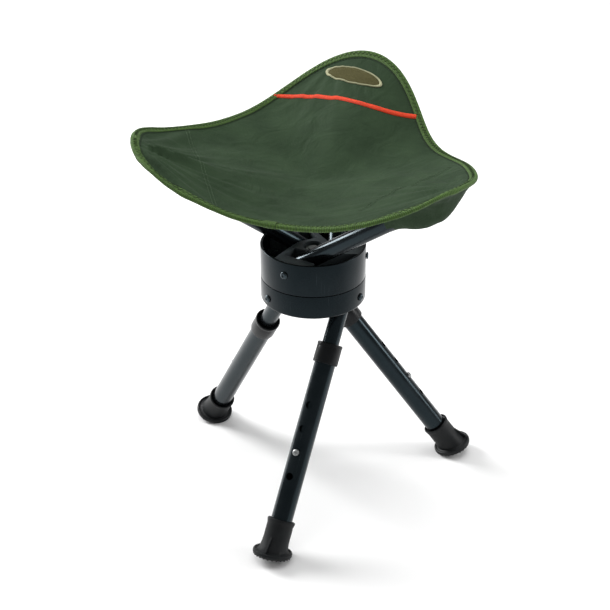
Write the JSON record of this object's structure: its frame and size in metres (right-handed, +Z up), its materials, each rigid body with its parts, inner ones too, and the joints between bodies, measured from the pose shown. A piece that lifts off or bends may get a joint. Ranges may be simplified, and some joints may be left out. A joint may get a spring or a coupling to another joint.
{
  "type": "folding tripod stool",
  "caption": "Low folding field stool with a slung green cloth seat on upward arms, a ringed swivel hub and telescopic legs with snap-button height and rubber feet.",
  "frame": {"origin": "on the floor, under the swivel axis, which is the centre of the object's footprint", "axes": "+Z up along the swivel axis; +Y toward the seat's back corner, the one with the badge; +X to the sitter's right"},
  "size_m": [0.3506, 0.3596, 0.429],
  "materials": {
    "ring_paint": "satin black-grey paint on steel",
    "core_plastic": "moulded dark grey nylon",
    "tube_paint": "satin black paint on steel tube",
    "trim_plastic": "moulded black plastic",
    "rubber": "moulded black rubber",
    "steel": "zinc-plated steel",
    "rivet_steel": "blackened steel",
    "nylon": "natural nylon",
    "seat_cloth": "dark green coated polyester, plain weave",
    "binding": "bright green ribbed binding tape",
    "piping": "orange-red piping tape",
    "badge": "olive embroidered oval with a cream border, no lettering"
  },
  "bodies": {
    "lower_hub": {"lower_housing": "ring_paint", "lower_core": "core_plastic", "swivel_bolt": "steel", "swivel_washer": "steel", "swivel_nut": "steel", "thrust_washer": "nylon", "front_leg_pivot_rivet": "rivet_steel", "right_leg_pivot_rivet": "rivet_steel", "left_leg_pivot_rivet": "rivet_steel"},
    "upper_hub": {"upper_housing": "ring_paint", "upper_core": "core_plastic", "right_arm_pivot_rivet": "rivet_steel", "back_arm_pivot_rivet": "rivet_steel", "left_arm_pivot_rivet": "rivet_steel", "seat_cloth": "seat_cloth", "edge_binding": "binding", "piping_stripe": "piping", "badge": "badge"},
    "front_leg": {"front_leg_inner_tube": "tube_paint", "front_leg_pivot_bush": "nylon", "front_leg_guide_plug": "nylon", "front_leg_button_spring": "steel"},
    "front_leg_extension": {"front_leg_outer_tube": "tube_paint", "front_leg_collar": "trim_plastic", "front_leg_foot": "rubber"},
    "front_leg_button": {"front_leg_snap_button": "steel"},
    "right_leg": {"right_leg_inner_tube": "tube_paint", "right_leg_pivot_bush": "nylon", "right_leg_guide_plug": "nylon", "right_leg_button_spring": "steel"},
    "right_leg_extension": {"right_leg_outer_tube": "tube_paint", "right_leg_collar": "trim_plastic", "right_leg_foot": "rubber"},
    "right_leg_button": {"right_leg_snap_button": "steel"},
    "left_leg": {"left_leg_inner_tube": "tube_paint", "left_leg_pivot_bush": "nylon", "left_leg_guide_plug": "nylon", "left_leg_button_spring": "steel"},
    "left_leg_extension": {"left_leg_outer_tube": "tube_paint", "left_leg_collar": "trim_plastic", "left_leg_foot": "rubber"},
    "left_leg_button": {"left_leg_snap_button": "steel"},
    "right_arm": {"right_arm_tube": "tube_paint", "right_arm_pivot_bush": "nylon", "right_arm_tip_cap": "trim_plastic", "right_arm_corner_pocket": "seat_cloth"},
    "back_arm": {"back_arm_tube": "tube_paint", "back_arm_pivot_bush": "nylon", "back_arm_tip_cap": "trim_plastic", "back_arm_corner_pocket": "seat_cloth"},
    "left_arm": {"left_arm_tube": "tube_paint", "left_arm_pivot_bush": "nylon", "left_arm_tip_cap": "trim_plastic", "left_arm_corner_pocket": "seat_cloth"}
  },
  "joints": [
    {"name": "seat_swivel", "type": "hinge", "parent": "lower_hub", "child": "upper_hub", "pos_m": [0, 0, 0.2473], "axis": [0, 0, 1], "continuous": true},
    {"name": "front_leg_fold", "type": "hinge", "parent": "lower_hub", "child": "front_leg", "pos_m": [0.03464, -0.01086, 0.2323], "axis": [0.9542, -0.299, 0], "range_deg": [0, 35]},
    {"name": "front_leg_length", "type": "slide", "parent": "front_leg", "child": "front_leg_extension", "axis": [-0.1715, -0.5473, -0.8192], "range_m": [-0.025, 0.05], "deforming": ["front_leg_snap_button"]},
    {"name": "front_leg_button_press", "type": "slide", "parent": "front_leg", "child": "front_leg_button", "axis": [0.245, 0.7817, -0.5736], "range_m": [0, 0.0035], "stiffness_N_per_m": 150, "springref_m": -0.004, "deforming": ["front_leg_button_spring"]},
    {"name": "right_leg_fold", "type": "hinge", "parent": "lower_hub", "child": "right_leg", "pos_m": [-0.00792, 0.03543, 0.2323], "axis": [-0.2181, 0.9759, 0], "range_deg": [0, 35]},
    {"name": "right_leg_length", "type": "slide", "parent": "right_leg", "child": "right_leg_extension", "axis": [0.5598, 0.1251, -0.8192], "range_m": [-0.025, 0.05], "deforming": ["right_leg_snap_button"]},
    {"name": "right_leg_button_press", "type": "slide", "parent": "right_leg", "child": "right_leg_button", "axis": [-0.7994, -0.1787, -0.5736], "range_m": [0, 0.0035], "stiffness_N_per_m": 150, "springref_m": -0.004, "deforming": ["right_leg_button_spring"]},
    {"name": "left_leg_fold", "type": "hinge", "parent": "lower_hub", "child": "left_leg", "pos_m": [-0.02672, -0.02457, 0.2323], "axis": [-0.7361, -0.6769, 0], "range_deg": [0, 35]},
    {"name": "left_leg_length", "type": "slide", "parent": "left_leg", "child": "left_leg_extension", "axis": [-0.3882, 0.4222, -0.8192], "range_m": [-0.025, 0.05], "deforming": ["left_leg_snap_button"]},
    {"name": "left_leg_button_press", "type": "slide", "parent": "left_leg", "child": "left_leg_button", "axis": [0.5545, -0.603, -0.5736], "range_m": [0, 0.0035], "stiffness_N_per_m": 150, "springref_m": -0.004, "deforming": ["left_leg_button_spring"]},
    {"name": "right_arm_fold", "type": "hinge", "parent": "upper_hub", "child": "right_arm", "pos_m": [-0.00895, -0.02227, 0.268], "axis": [-0.373, -0.9278, 0], "range_deg": [0, 54.5], "deforming": ["seat_cloth", "edge_binding", "piping_stripe", "badge"]},
    {"name": "back_arm_fold", "type": "hinge", "parent": "upper_hub", "child": "back_arm", "pos_m": [0.02376, 0.00338, 0.268], "axis": [0.99, 0.1409, 0], "range_deg": [0, 54.5]},
    {"name": "left_arm_fold", "type": "hinge", "parent": "upper_hub", "child": "left_arm", "pos_m": [-0.01481, 0.01889, 0.268], "axis": [-0.617, 0.7869, 0], "range_deg": [0, 52.5]}
  ],
  "couplings": [
    {"joint": "back_arm_fold", "follows": "right_arm_fold", "ratio": 1},
    {"joint": "left_arm_fold", "follows": "right_arm_fold", "ratio": 0.9633}
  ]
}
